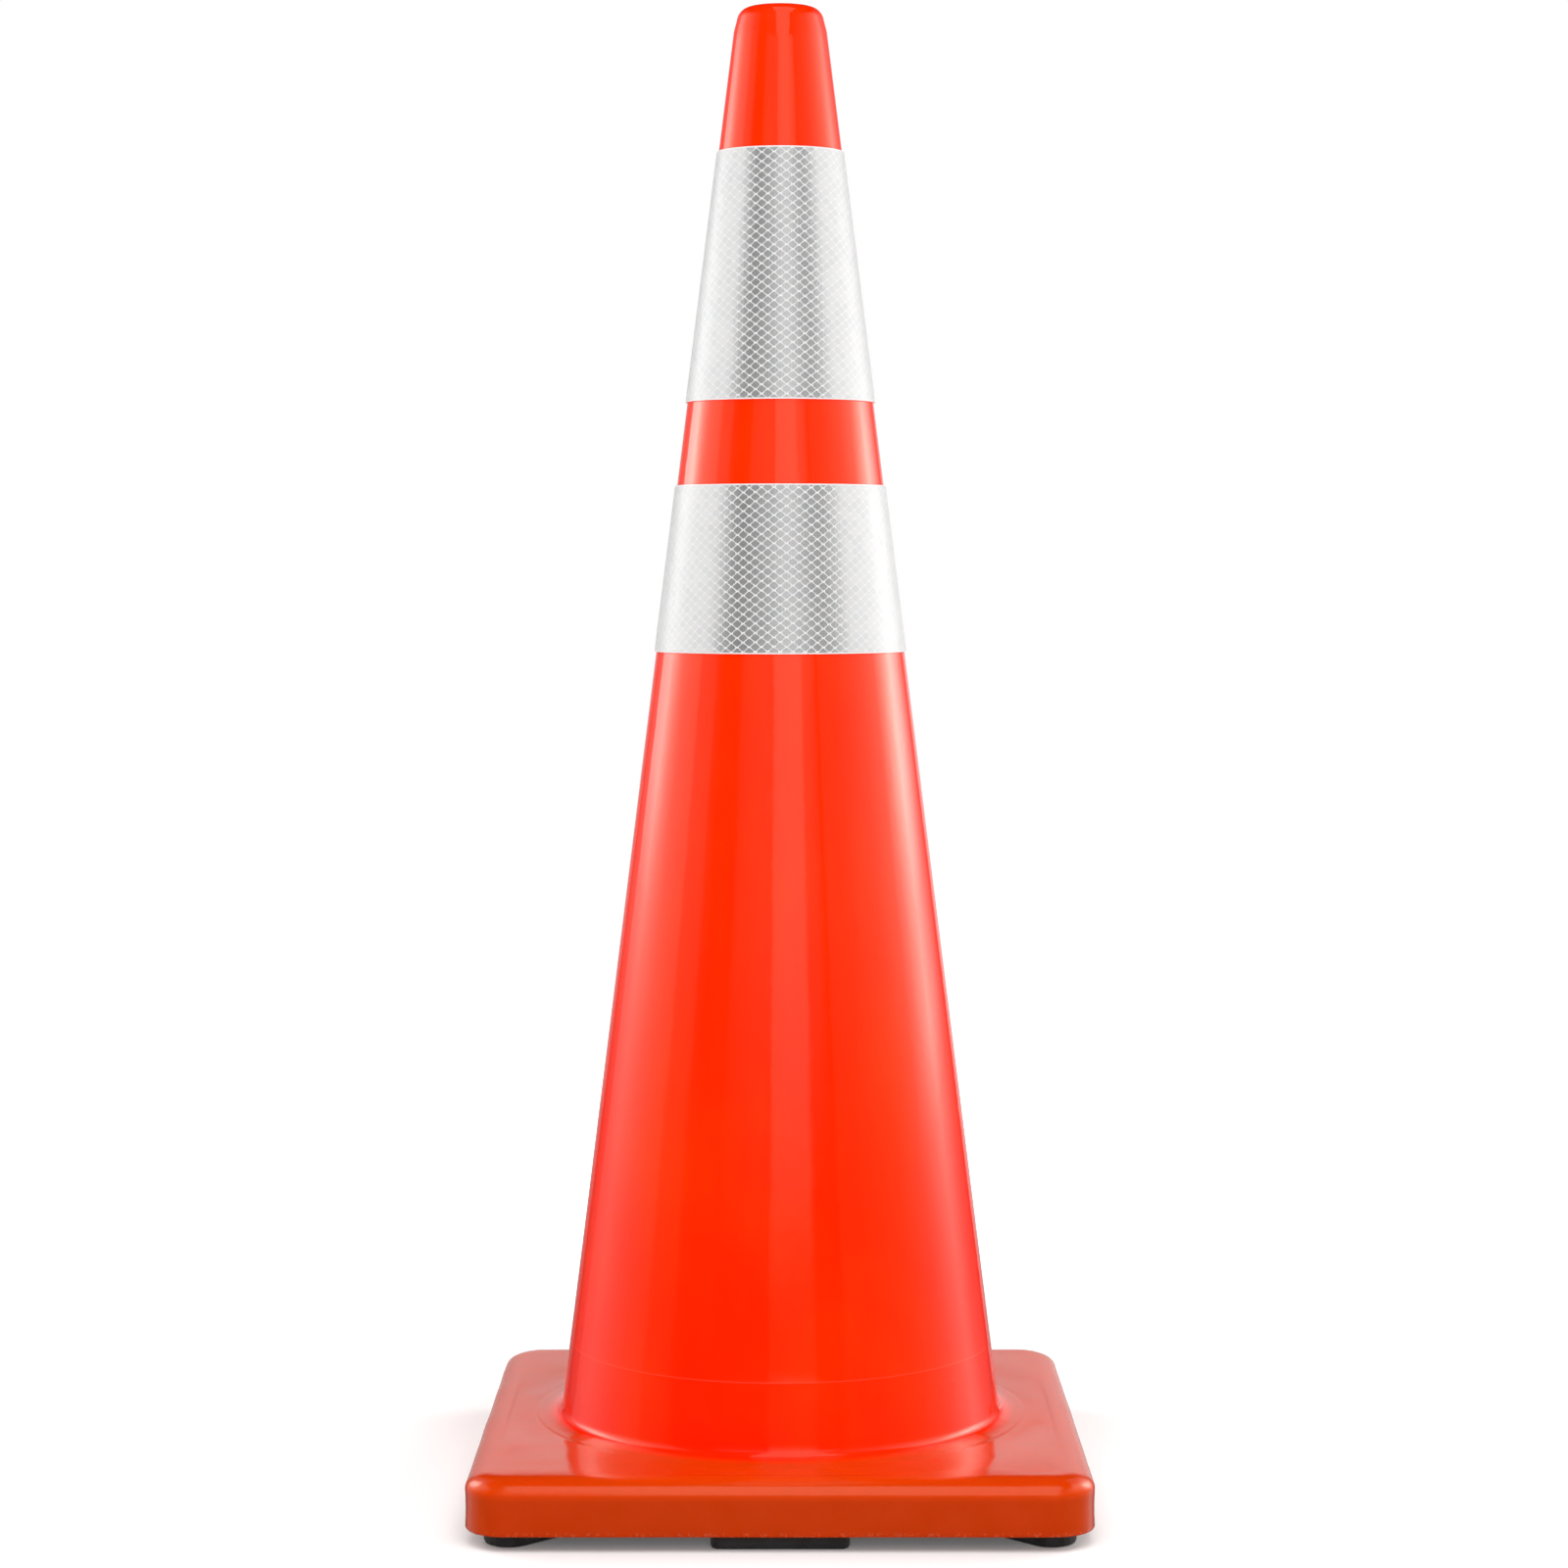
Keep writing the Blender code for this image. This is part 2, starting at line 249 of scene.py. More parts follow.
def prismatic_sheeting():
    """Clear film over cells of fine prisms, welded to white backing along a lattice.

    The mesh stores, in "lattice", the two lattice coordinates (whole numbers on the welds)
    and how near a point is to the sealed edge strip.
    """
    made, graph, shader, place = surface("prismatic_sheeting")
    lattice = graph.add("ShaderNodeAttribute", output="Vector", attribute_name="lattice")
    p, q, strip = graph.split(lattice)

    def to_weld(value):
        centred = graph.math("SUBTRACT", graph.math("FRACT", value), 0.5)
        return graph.math("SUBTRACT", 0.5, graph.math("ABSOLUTE", centred))

    nearest = graph.math("SMOOTH_MIN", to_weld(p), to_weld(q), CORNER_BLEND)
    # The sharp corners at a cell's left and right are cut blunt.
    aside = graph.math("SUBTRACT", graph.math("FRACT", p), graph.math("FRACT", q))
    blunt = graph.remap(graph.math("ABSOLUTE", aside), BLUNT - 1.0, BLUNT, 0.5, 0.0, smooth=False)
    nearest = graph.math("SMOOTH_MIN", nearest, blunt, 0.12)
    weld = graph.remap(nearest, WELD_HALF * 1.15, WELD_HALF * 0.8)
    weld = graph.math("MAXIMUM", weld, strip)
    rim = graph.remap(nearest, WELD_HALF * 2.4, WELD_HALF * 1.3)

    cell = graph.add(
        "ShaderNodeCombineXYZ", {0: graph.math("FLOOR", p), 1: graph.math("FLOOR", q)}
    )
    chance = graph.add("ShaderNodeTexWhiteNoise", {"Vector": cell}, output="Value")
    tint = graph.add("ShaderNodeTexWhiteNoise", {"Vector": cell}, output="Color")
    grain = graph.noise(place, 2600.0, 1.0)
    patches = graph.noise(place, 28.0, 2.0)

    tone = graph.mix(chance, colour(0.505, 0.505, 0.51), colour(0.555, 0.555, 0.555))
    tone = graph.mix(0.015, tone, tint)
    tone = graph.mix(graph.remap(grain, 0.3, 0.7, 0.0, 0.30), tone, colour(0.45, 0.45, 0.455))
    tone = graph.mix(graph.math("MULTIPLY", rim, 0.35), tone, colour(0.43, 0.43, 0.435))
    tone = graph.mix(graph.remap(patches, 0.35, 0.7, 0.0, 0.15), tone, colour(0.59, 0.59, 0.58))
    tone = graph.mix(weld, tone, colour(0.60, 0.60, 0.60))

    # The prisms mirror light back only when they are seen nearly square on.
    slant = graph.add("ShaderNodeLayerWeight", {"Blend": 0.5}, output="Facing")
    mirror = graph.remap(slant, 0.06, 0.24, 0.76, 0.0)
    metal = graph.math("MULTIPLY", graph.math("SUBTRACT", 1.0, weld), mirror)
    gloss = graph.remap(weld, 0.0, 1.0, 0.36, 0.50, smooth=False)
    gloss = graph.math("ADD", gloss, graph.remap(grain, 0.3, 0.7, -0.04, 0.06))
    prisms = graph.bump(grain, 0.00002, graph.math("SUBTRACT", 1.0, weld))

    shader.inputs["IOR"].default_value = 1.5
    shader.inputs["Specular IOR Level"].default_value = 0.25
    shader.inputs["Coat Weight"].default_value = 0.2
    shader.inputs["Coat Roughness"].default_value = 0.08
    shader.inputs["Sheen Weight"].default_value = 0.15
    shader.inputs["Sheen Roughness"].default_value = 0.4
    drive(graph, shader, base_color=tone, roughness=gloss, metallic=metal, normal=prisms)
    return made


def white_pvc():
    """Satin white PVC with a faint calendered grain and grey handling marks."""
    made, graph, shader, place = surface("white_pvc")
    marks = graph.noise(place, 45.0, 5.0, 0.65)
    grain = graph.noise(place, 900.0, 3.0)
    tone = graph.mix(
        graph.remap(marks, 0.45, 0.75), colour(0.82, 0.82, 0.80), colour(0.70, 0.70, 0.68)
    )
    gloss = graph.remap(marks, 0.3, 0.7, 0.34, 0.46)
    shader.inputs["IOR"].default_value = 1.5
    drive(
        graph, shader, base_color=tone, roughness=gloss, normal=graph.bump(grain, 0.00004)
    )
    return made


def black_rubber():
    """Moulded black rubber: fine stipple, a dusty bloom and worn, paler contact edges."""
    made, graph, shader, place = surface("black_rubber")
    z = graph.split(place)[2]
    stipple = graph.noise(place, 1400.0, 3.0, 0.6)
    bloom = graph.noise(place, 60.0, 4.0, 0.65)
    wear = graph.math(
        "MULTIPLY", graph.remap(z, 0.0026, 0.0002), graph.remap(stipple, 0.42, 0.60)
    )
    tone = graph.mix(
        graph.remap(bloom, 0.35, 0.75), colour(0.017, 0.017, 0.019), colour(0.031, 0.030, 0.033)
    )
    tone = graph.mix(graph.math("MULTIPLY", wear, 0.7), tone, colour(0.075, 0.072, 0.068))
    gloss = graph.remap(bloom, 0.3, 0.7, 0.50, 0.66)
    normal = graph.bump(stipple, 0.00012)
    normal = graph.bump(graph.noise(place, 90.0, 2.0), 0.0002, 1.0, normal)
    drive(graph, shader, base_color=tone, roughness=gloss, normal=normal)
    return made


def recycled_rubber():
    """Pressed rubber crumb: dark grains of several shades with open pores between them."""
    made, graph, shader, place = surface("recycled_rubber")
    cells = {"Vector": place, "Scale": 420.0}
    crumb = graph.add("ShaderNodeTexVoronoi", cells, output="Color")
    gaps = graph.add("ShaderNodeTexVoronoi", cells, feature="DISTANCE_TO_EDGE")
    shade, fleck, _ = graph.split(crumb)
    drift = graph.noise(place, 40.0, 4.0, 0.6)
    tone = graph.mix(shade, colour(0.012, 0.012, 0.013), colour(0.040, 0.039, 0.038))
    tone = graph.mix(graph.remap(fleck, 0.93, 0.95), tone, colour(0.16, 0.15, 0.14))
    tone = graph.mix(graph.remap(fleck, 0.05, 0.03), tone, colour(0.20, 0.035, 0.02))
    # Painted shade: the open pores between the grains are near black.
    tone = graph.mix(graph.remap(gaps, 0.10, 0.0), tone, colour(0.004, 0.004, 0.004))
    gloss = graph.remap(drift, 0.3, 0.7, 0.66, 0.86)
    normal = graph.bump(graph.remap(gaps, 0.0, 0.22), 0.0004)
    normal = graph.bump(drift, 0.0008, 1.0, normal)
    drive(graph, shader, base_color=tone, roughness=gloss, normal=normal)
    return made


# ---------------------------------------------------------------- mesh helpers


def mesh_object(name, points, faces, finish, body):
    """A piece made from points and faces, which rides on a body."""
    mesh = bpy.data.meshes.new(name)
    mesh.from_pydata([tuple(p) for p in points], [], [tuple(f) for f in faces])
    bm = bmesh.new()
    bm.from_mesh(mesh)
    bmesh.ops.recalc_face_normals(bm, faces=bm.faces)
    bm.to_mesh(mesh)
    bm.free()
    made = bpy.data.objects.new(name, mesh)
    bpy.context.scene.collection.objects.link(made)
    mesh.materials.append(finish)
    mesh.shade_smooth()
    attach(made, body)
    return made


def loft(rings):
    """Points and quads of a closed loop of closed rings, each with the same point count."""
    count = len(rings[0])
    points = np.concatenate(rings)
    faces = []
    for i in range(len(rings)):
        here, there = i * count, (i + 1) % len(rings) * count
        for j in range(count):
            k = (j + 1) % count
            faces.append((here + j, here + k, there + k, there + j))
    return points, faces


# ---------------------------------------------------------------- the moulding

SIDE_STEPS = 58
CORNER_STEPS = 16
WALL_STEP = 7 * MM
TOP_EASE = 0.12 * MM
FOOT_TURN = 6 * MM
FOOT_FLARE = 40 * MM
FLARE_SLOPE = math.radians(16)
FLARE_END = math.radians(1)
CREASE_STEP = 0.3 * MM
CREASE_WIDTH = 1.8 * MM
PARTING_HEIGHT = 86.6 * MM
PARTING_RISE = 0.045 * MM
PARTING_HALF = 0.5 * MM
TROUGH_DEPTH = 0.5 * MM
TROUGH_OUT = 16 * MM
EDGE_SAG = 0.35 * MM
EDGE_REACH = 16 * MM
ROLL_WIDTH = 15 * MM
ROLL_DROP = 9 * MM
SWELL_FADE = 12 * MM
FACE_DISH = 0.35 * MM

# Where the rings of the cover's top lie, as parts of the way from the foot to the roll
COVER_STATIONS = (
    0.03, 0.07, 0.12, 0.18, 0.25, 0.33, 0.42, 0.51, 0.60, 0.68, 0.75, 0.81, 0.87, 0.92, 0.96,
)


def cover_directions():
    """Where each meridian of the moulding crosses the cover: core points and normals.

    A ring of the cover at offset d from the core square is core + d * normal.
    """
    core_half = BASE_HALF - BASE_CORNER
    edge_angle = math.atan2(core_half, BASE_HALF)
    core, normals = [], []
    for quarter in range(4):
        turn = quarter * math.pi / 2
        along = np.array((math.cos(turn), math.sin(turn)))
        across = np.array((-math.sin(turn), math.cos(turn)))
        for i in range(SIDE_STEPS):
            angle = -edge_angle + 2 * edge_angle * i / SIDE_STEPS
            core.append(along * core_half + across * BASE_HALF * math.tan(angle))
            normals.append(along)
        for i in range(CORNER_STEPS):
            angle = math.pi / 2 * i / CORNER_STEPS
            core.append((along + across) * core_half)
            normals.append(along * math.cos(angle) + across * math.sin(angle))
    return np.array(core), np.array(normals)


CORE, NORMALS = cover_directions()
RIM_POINTS = CORE + BASE_CORNER * NORMALS
MERIDIANS = np.arctan2(RIM_POINTS[:, 1], RIM_POINTS[:, 0])
UNIT = np.stack((np.cos(MERIDIANS), np.sin(MERIDIANS)), axis=1)


def round_ring(radius, z):
    """A ring of the turned part; radius may vary by meridian."""
    flat = UNIT * np.reshape(radius, (-1, 1))
    return np.column_stack((flat, np.full(len(flat), z)))


def cover_ring(offset, z, pull=0.0):
    """A ring of the square part, offset outwards from its core and pulled in by pull."""
    flat = CORE + NORMALS * np.reshape(offset - pull, (-1, 1))
    return np.column_stack((flat, np.broadcast_to(z, len(flat))))


def wall_wave(z):
    """How far the cone's wall strays from true at height z, for each meridian."""
    values = []
    for ux, uy in UNIT:
        broad = wave(0.10 * ux, 0.10 * uy, 0.35 * z, 0.06, 3.1)
        fine = wave(0.10 * ux, 0.10 * uy, 0.5 * z, 0.022, 7.7)
        values.append(0.10 * broad + 0.03 * fine)
    return np.array(values) * MM


def cover_wave(flat):
    """Soft swells of the cover's top, as heights at points (x, y)."""
    values = []
    for x, y in flat:
        broad = wave(x, y, 0.0, 0.075, 11.3)
        small = wave(x, y, 0.0, 0.034, 5.9)
        fine = wave(x, y, 0.0, 0.016, 2.3)
        values.append(0.75 * broad + 0.26 * small + 0.06 * fine)
    return np.array(values) * MM


def edge_wave():
    """How far the cover's sides stray inwards, for each meridian."""
    values = []
    for x, y in RIM_POINTS:
        values.append(0.30 + 0.45 * wave(x, y, 0.0, 0.05, 21.7))
    return np.clip(np.array(values), 0.0, 0.6) * MM


def corner_pucker():
    """Small moulding creases on the rolled edge of each corner, for each meridian."""
    angle = np.degrees(np.arctan2(NORMALS[:, 1], NORMALS[:, 0])) % 90.0
    left = np.exp(-(((angle - 34.0) / 5.0) ** 2))
    right = np.exp(-(((angle - 58.0) / 4.0) ** 2))
    return (0.30 * left + 0.22 * right) * MM


def top_rings():
    """The rim round the top hole, and the round of the top."""
    rings = [round_ring(HOLE_RADIUS + out * HOLE_EDGE, HEIGHT) for out in (1.0, 2.2)]
    middle = cone_radius(HEIGHT) - TOP_ROUND + TOP_EASE
    steps = 12
    for i in range(steps + 1):
        angle = math.pi / 2 + (LEAN - math.pi / 2) * i / steps
        z = HEIGHT - TOP_ROUND + TOP_ROUND * math.sin(angle)
        rings.append(round_ring(middle + TOP_ROUND * math.cos(angle), z))
    return rings


def wall_rings(wall_top, foot_top):
    """The taper, gently uneven, with the parting ring of the mould near its foot."""
    count = int((wall_top - foot_top) / WALL_STEP)
    heights = list(np.linspace(wall_top, foot_top + WALL_STEP / 2, count))
    heights = [z for z in heights if abs(z - PARTING_HEIGHT) > 2 * PARTING_HALF]
    ridge = {PARTING_HEIGHT + k * PARTING_HALF / 2: 1 - abs(k) / 2 for k in range(-2, 3)}
    rings = []
    for z in sorted(heights + list(ridge), reverse=True):
        radius = cone_radius(z) + PARTING_RISE * ridge.get(z, 0.0)
        settled = float(smoothstep(foot_top, foot_top + 3 * WALL_STEP, z))
        rings.append(round_ring(radius + settled * wall_wave(z), z))
    return rings


def foot_rings(foot_top):
    """A tight turn out of the wall, a shallow flare and a fine step onto the cover."""
    radius, z = cone_radius(foot_top), foot_top
    slope = math.pi / 2 - LEAN
    rings = []
    for bend, last, steps in ((FOOT_TURN, FLARE_SLOPE, 11), (FOOT_FLARE, FLARE_END, 6)):
        first = slope
        for i in range(1, steps + 1):
            before, slope = slope, first + (last - first) * i / steps
            radius += bend * (math.sin(before) - math.sin(slope))
            z -= bend * (math.cos(slope) - math.cos(before))
            rings.append(round_ring(radius, z))
    rings.append(round_ring(radius + 0.35 * CREASE_WIDTH, z - 0.25 * CREASE_STEP))
    rings.append(round_ring(radius + CREASE_WIDTH, BASE_TOP - CREASE_STEP))
    return rings


def cover_top_rings(foot_ring, pull):
    """A shallow trough round the foot, then soft swells that sag towards the rolled edge."""
    start = foot_ring[:, :2]
    end = cover_ring(BASE_CORNER - ROLL_WIDTH, BASE_TOP, pull)[:, :2]
    spans = np.hypot(*(end - start).T)
    rings = []
    for t in COVER_STATIONS:
        flat = start + (end - start) * t
        run = spans * t
        swell = cover_wave(flat) * smoothstep(0.0, SWELL_FADE, run)
        swell *= smoothstep(0.0, SWELL_FADE, spans - run)
        trough = -TROUGH_DEPTH * np.exp(-(((run - TROUGH_OUT) / (0.8 * TROUGH_OUT)) ** 2))
        trough *= smoothstep(0.0, 10 * MM, run)
        lift = -CREASE_STEP * (1 - smoothstep(0.0, 20 * MM, run))
        sag = -EDGE_SAG * np.clip(1 - (spans - run) / EDGE_REACH, 0, 1) ** 2
        rings.append(np.column_stack((flat, BASE_TOP + swell + trough + lift + sag)))
    return rings


def cover_edge_rings(pull):
    """The rolled edge of the cover, a quarter ellipse, then its face and the skirt's edge."""
    rings = []
    pucker = corner_pucker()
    steps = 14
    brow = BASE_TOP - EDGE_SAG
    first = math.pi / 2 - 2 * EDGE_SAG / EDGE_REACH * ROLL_WIDTH / ROLL_DROP
    for i in range(steps + 1):
        angle = first * (1 - i / steps)
        out = (math.cos(angle) - math.cos(first)) / (1 - math.cos(first))
        offset = BASE_CORNER - ROLL_WIDTH + ROLL_WIDTH * out
        z = brow - ROLL_DROP * (1 - math.sin(angle) / math.sin(first))
        rings.append(cover_ring(offset, z, pull + pucker * math.sin(2 * angle)))
    face_top, face_low = brow - ROLL_DROP, SKIRT_BOTTOM + SKIRT_ROUND
    for t in (0.25, 0.5, 0.75):
        z = face_top + (face_low - face_top) * t
        rings.append(cover_ring(BASE_CORNER, z, pull + FACE_DISH * math.sin(math.pi * t)))
    skirt_steps = 4
    for i in range(skirt_steps + 1):
        angle = math.pi / 2 * i / skirt_steps
        offset = BASE_CORNER - SKIRT_ROUND + SKIRT_ROUND * math.cos(angle)
        z = face_low - SKIRT_ROUND * math.sin(angle)
        rings.append(cover_ring(offset, z, pull))
    return rings


def pocket_rings():
    """The lip that holds the ballast, the pocket, and its ceiling up to the cone's inside."""
    pocket = BASE_CORNER - COVER_WALL
    mouth = pocket - LIP_IN
    ceiling = BASE_TOP - COVER_WALL
    lip_top = SKIRT_BOTTOM + LIP_THICK
    edge = 0.4 * MM
    outline = (
        (mouth + edge, SKIRT_BOTTOM),
        (mouth, SKIRT_BOTTOM + edge),
        (mouth, lip_top - edge),
        (mouth + edge, lip_top),
        (pocket, lip_top),
        (pocket, (lip_top + ceiling) / 2),
        (pocket, ceiling - 0.2 * MM),
    )
    rings = [cover_ring(offset, z) for offset, z in outline]
    start = rings[-1][:, :2]
    end = round_ring(cone_radius(ceiling) - CONE_WALL + 1.0 * MM, ceiling)[:, :2]
    for t in (0.05, 0.3, 0.55, 0.8, 1.0):
        flat = start + (end - start) * t
        rings.append(np.column_stack((flat, np.full(len(flat), ceiling))))
    return rings


def inside_rings():
    """Up the inside of the cone, over its shoulder and through the hole."""
    low, shoulder = BASE_TOP - COVER_WALL + 1.0 * MM, HEIGHT - 2 * HOLE_DEPTH
    rings = [round_ring(cone_radius(z) - CONE_WALL, z) for z in np.linspace(low, shoulder, 64)]
    hole_floor = HEIGHT - HOLE_DEPTH
    rings.append(round_ring(HOLE_RADIUS + 0.6 * MM, hole_floor - 0.6 * MM))
    for z in (hole_floor, (hole_floor + HEIGHT) / 2, HEIGHT - HOLE_EDGE):
        rings.append(round_ring(HOLE_RADIUS, z))
    rings.append(round_ring(HOLE_RADIUS + 0.3 * HOLE_EDGE, HEIGHT - 0.3 * HOLE_EDGE))
    return rings


def moulding_rings():
    """The rings of the whole moulding, from the rim down its outside and back up inside."""
    rings = top_rings()
    foot_top = BASE_TOP + FOOT_TURN * (math.cos(FLARE_SLOPE) - math.sin(LEAN))
    foot_top += FOOT_FLARE * (1 - math.cos(FLARE_SLOPE))
    rings += wall_rings(rings[-1][0, 2] - WALL_STEP, foot_top)
    rings += foot_rings(foot_top)
    pull = edge_wave()
    rings += cover_top_rings(rings[-1], pull)
    rings += cover_edge_rings(pull)
    rings += pocket_rings()
    rings += inside_rings()
    return rings


def make_moulding(finish):
    """The cone and the cover of its base, in one piece."""
    points, faces = loft(moulding_rings())
    made = mesh_object("moulded_cone", points, faces, finish, "cone")
    made.data.set_sharp_from_angle(angle=math.radians(50))
    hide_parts("cone_body")


# ---------------------------------------------------------------- the collars

CELL_WIDTH = 7.45 * MM
CELL_HEIGHT = 5.6 * MM
WELD_HALF = 0.055
CORNER_BLEND = 0.18
BLUNT = 0.815
GROOVE_HALF = 0.085
GROOVE_DEPTH = 0.05 * MM
CELL_DOME = 0.30
STRIP = 0.9 * MM
STRIP_STEP = 0.15 * MM
SHEET_OUT = 1.25 * MM
SHEET_WALL = 0.25 * MM
SLEEVE_IN = 0.3 * MM
SLEEVE_WALL = 0.5 * MM
LAP_RISE = 0.4 * MM
LAP_RAMP = 3.5 * MM
CELL_TILT = 0.006
SLEEVE_STEPS = 216


class Pattern:
    """The flat pattern of a collar: an arc of sheet with an upright lattice at its middle."""

    apex = (RADIUS_AT_GROUND + SHEET_OUT) / TAPER

    def lattice(self, angle, z):
        """Lattice coordinates of a point at an angle round the cone, from the front."""
        slant = (self.apex - z) / math.cos(LEAN)
        turn = angle * math.sin(LEAN)
        x, y = slant * np.sin(turn), -slant * np.cos(turn)
        return x / CELL_WIDTH + y / CELL_HEIGHT, y / CELL_HEIGHT - x / CELL_WIDTH

    def surface(self, p, q):
        """Angle from the front and height of a lattice point."""
        x, y = (p - q) * CELL_WIDTH / 2, (p + q) * CELL_HEIGHT / 2
        slant, turn = np.hypot(x, y), np.arctan2(x, -y)
        return turn / math.sin(LEAN), self.apex - slant * math.cos(LEAN)


def cell_tilts(p, q):
    """A small steady tilt for each cell, from its whole-number place."""
    a = np.sin(p * 12.9898 + q * 78.233) * 43758.5453
    b = np.sin(p * 39.3467 + q * 11.135) * 24634.6345
    return (a - np.floor(a)) * 2 - 1, (b - np.floor(b)) * 2 - 1


def sheet_relief(pattern, angle, z):
    """Height of the sheeting's face over its true cone: sunk welds between flat cells."""
    p, q = pattern.lattice(angle, z)
    cell_p, cell_q = np.floor(p), np.floor(q)
    u, v = p - cell_p, q - cell_q
    near = np.minimum(np.minimum(u, 1 - u), np.minimum(v, 1 - v))
    flat = smoothstep(0.0, GROOVE_HALF, near)
    mid_angle, mid_z = pattern.surface(cell_p + 0.5, cell_q + 0.5)
    radius = cone_radius(mid_z) + SHEET_OUT
    across = radius * (angle - mid_angle)
    chord = across**2 / (2 * radius) - CELL_WIDTH**2 / (24 * radius)
    tilt_a, tilt_b = cell_tilts(cell_p, cell_q)
    tilt = CELL_TILT * (tilt_a * across + tilt_b * (z - mid_z))
    return flat * (CELL_DOME * chord + tilt) - (1 - flat) * GROOVE_DEPTH


def lattice_grid(pattern, low, high, lap_angle):
    """A flat grid in (angle, z) whose lines follow the welds, trimmed to the sheet."""
    across = np.linspace(-lap_angle, lap_angle, 41)
    p_all, q_all = np.array([pattern.lattice(a, z) for a in across for z in (low, high)]).T
    stops = np.array((0.0, GROOVE_HALF, 1 - GROOVE_HALF))

    def lines(values):
        whole = np.arange(math.floor(values.min()) - 1, math.ceil(values.max()) + 2)
        return (whole[:, None] + stops[None, :]).ravel()

    p, q = np.meshgrid(lines(p_all), lines(q_all), indexing="ij")
    angle, z = pattern.surface(p, q)
    margin = 6 * MM
    inside = (np.abs(angle) < lap_angle + 0.2) & (z > low - margin) & (z < high + margin)
    index = np.full(p.shape, -1)
    index[inside] = np.arange(inside.sum())
    quads = np.stack((index[:-1, :-1], index[1:, :-1], index[1:, 1:], index[:-1, 1:]), axis=-1)
    quads = quads.reshape(-1, 4)
    quads = quads[(quads >= 0).all(axis=1)]
    points = np.column_stack((angle[inside], z[inside], np.zeros(inside.sum())))
    return points, quads


def trim(bm, low, high, lap_angle):
    """Cuts a flat lattice at two heights and at both ends of the lap."""
    cuts = (
        ((0, low, 0), (0, -1, 0)),
        ((0, high, 0), (0, 1, 0)),
        ((lap_angle, 0, 0), (1, 0, 0)),
        ((-lap_angle, 0, 0), (-1, 0, 0)),
    )
    for spot, out in cuts:
        everything = bm.verts[:] + bm.edges[:] + bm.faces[:]
        bmesh.ops.bisect_plane(
            bm, geom=everything, dist=1e-7, plane_co=spot, plane_no=out, clear_outer=True
        )
    loose = [v for v in bm.verts if not v.link_faces]
    bmesh.ops.delete(bm, geom=loose, context="VERTS")


def grow_strips(bm, low, high):
    """Adds the sealed strip along each long edge: a step down off the cells, then a flat."""
    strip_rows = (
        (low + STRIP, low + STRIP - STRIP_STEP, low),
        (high - STRIP, high - STRIP + STRIP_STEP, high),
    )
    for rows in strip_rows:
        for here, there in zip(rows, rows[1:]):
            border = [
                e
                for e in bm.edges
                if e.is_boundary and all(abs(v.co.y - here) < 1e-6 for v in e.verts)
            ]
            grown = bmesh.ops.extrude_edge_only(bm, edges=border)["geom"]
            for vertex in (g for g in grown if isinstance(g, bmesh.types.BMVert)):
                vertex.co.y = there


def bend_sheet(mesh, pattern, low, high):
    """Bends a flat sheet round the cone, raises its cells and stores the lattice on it."""
    flat = np.zeros(len(mesh.vertices) * 3, np.float32)
    mesh.vertices.foreach_get("co", flat)
    angle, z, _ = flat.reshape(-1, 3).astype(float).T
    p, q = pattern.lattice(angle, z)
    sealed = np.minimum(z - low, high - z) < STRIP - STRIP_STEP / 2
    strip = sealed.astype(float)
    relief = np.where(sealed, -GROOVE_DEPTH, sheet_relief(pattern, angle, z))
    radius = cone_radius(z) + SHEET_OUT
    past = (angle - math.pi) * radius
    lift = LAP_RISE * smoothstep(-LAP_HALF - LAP_RAMP, -LAP_HALF - 0.3 * MM, past)
    radius = radius + relief + lift
    place = np.column_stack((radius * np.sin(angle), -radius * np.cos(angle), z))
    mesh.vertices.foreach_set("co", place.astype(np.float32).ravel())
    stored = mesh.attributes.new("lattice", "FLOAT_VECTOR", "POINT")
    stored.data.foreach_set("vector", np.column_stack((p, q, strip)).astype(np.float32).ravel())


def face_outwards(mesh):
    """Turns every face of a sheet round the axis to look away from it."""
    bm = bmesh.new()
    bm.from_mesh(mesh)
    bmesh.ops.recalc_face_normals(bm, faces=bm.faces)
    sample = bm.faces[:][0]
    if sample.normal.dot(sample.calc_center_median() * Vector((1, 1, 0))) < 0:
        bmesh.ops.reverse_faces(bm, faces=bm.faces)
    bm.to_mesh(mesh)
    bm.free()


def make_sheeting(name, body, finish):
    """One collar's prismatic sheeting, with its ends lapped at the back."""
    lowest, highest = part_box(f"{name}_sheeting")
    low, high = lowest.z, highest.z
    pattern = Pattern()
    middle = cone_radius((low + high) / 2) + SHEET_OUT
    lap_angle = math.pi + LAP_HALF / middle
    points, quads = lattice_grid(pattern, low, high, lap_angle)

    mesh = bpy.data.meshes.new(f"{name}_sheet")
    mesh.from_pydata(points.tolist(), [], quads.tolist())
    bm = bmesh.new()
    bm.from_mesh(mesh)
    trim(bm, low + STRIP, high - STRIP, lap_angle)
    grow_strips(bm, low, high)
    bm.to_mesh(mesh)
    bm.free()
    bend_sheet(mesh, pattern, low, high)
    face_outwards(mesh)

    mesh.materials.append(finish)
    made = bpy.data.objects.new(f"{name}_prisms", mesh)
    bpy.context.scene.collection.objects.link(made)
    shell = made.modifiers.new("thickness", "SOLIDIFY")
    shell.thickness = SHEET_WALL
    shell.offset = -1.0
    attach(made, body)
    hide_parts(f"{name}_sheeting")


